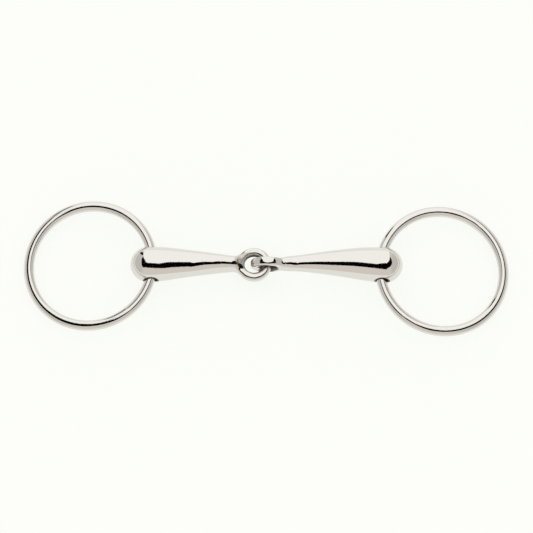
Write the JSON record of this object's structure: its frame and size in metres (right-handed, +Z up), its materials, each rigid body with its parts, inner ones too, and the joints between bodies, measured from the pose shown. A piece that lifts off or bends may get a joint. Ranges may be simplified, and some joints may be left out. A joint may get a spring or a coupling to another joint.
{
  "type": "snaffle bit",
  "caption": "Loose-ring jointed snaffle bit of polished stainless steel, with thick tapered hollow cannons linked eye to eye in the middle and plain round rings.",
  "frame": {"origin": "on the surface that the bit lies on, under the middle of the whole bit", "axes": "+X along the mouthpiece towards the right ring, +Y across it, +Z up from the surface"},
  "size_m": [0.283, 0.0816, 0.0205],
  "materials": {
    "polished_steel": "mirror-polished stainless steel with fine handling scratches"
  },
  "bodies": {
    "left_half": {"left_cannon": "polished_steel", "left_neck": "polished_steel", "left_eye": "polished_steel"},
    "left_sleeve": {"left_ring_sleeve": "polished_steel"},
    "left_ring": {"left_ring": "polished_steel"},
    "right_link": {"right_eye": "polished_steel"},
    "right_half": {"right_cannon": "polished_steel", "right_neck": "polished_steel"},
    "right_sleeve": {"right_ring_sleeve": "polished_steel"},
    "right_ring": {"right_ring": "polished_steel"}
  },
  "joints": [
    {"name": "left_ring_swing", "type": "hinge", "parent": "left_half", "child": "left_sleeve", "pos_m": [-0.06687, 0.001, 0.0103], "axis": [0, 1, 0], "range_deg": [-155, 160]},
    {"name": "left_ring_turn", "type": "hinge", "parent": "left_sleeve", "child": "left_ring", "pos_m": [-0.10239, 0.0014, 0.00668], "axis": [-0.1013, 0, 0.9949], "continuous": true},
    {"name": "joint_sideways", "type": "hinge", "parent": "left_half", "child": "right_link", "pos_m": [-0.00717, 0.001, 0.0103], "axis": [0, 0, 1], "range_deg": [-120, 120]},
    {"name": "joint_fold", "type": "hinge", "parent": "right_link", "child": "right_half", "pos_m": [0.00178, 0.001, 0.0103], "axis": [0, 1, 0], "range_deg": [-135, 135]},
    {"name": "right_ring_swing", "type": "hinge", "parent": "right_half", "child": "right_sleeve", "pos_m": [0.06723, 0.001, 0.0103], "axis": [0, -1, 0], "range_deg": [-155, 160]},
    {"name": "right_ring_turn", "type": "hinge", "parent": "right_sleeve", "child": "right_ring", "pos_m": [0.10239, -0.0014, 0.0067], "axis": [0.1018, 0, 0.9948], "continuous": true}
  ]
}
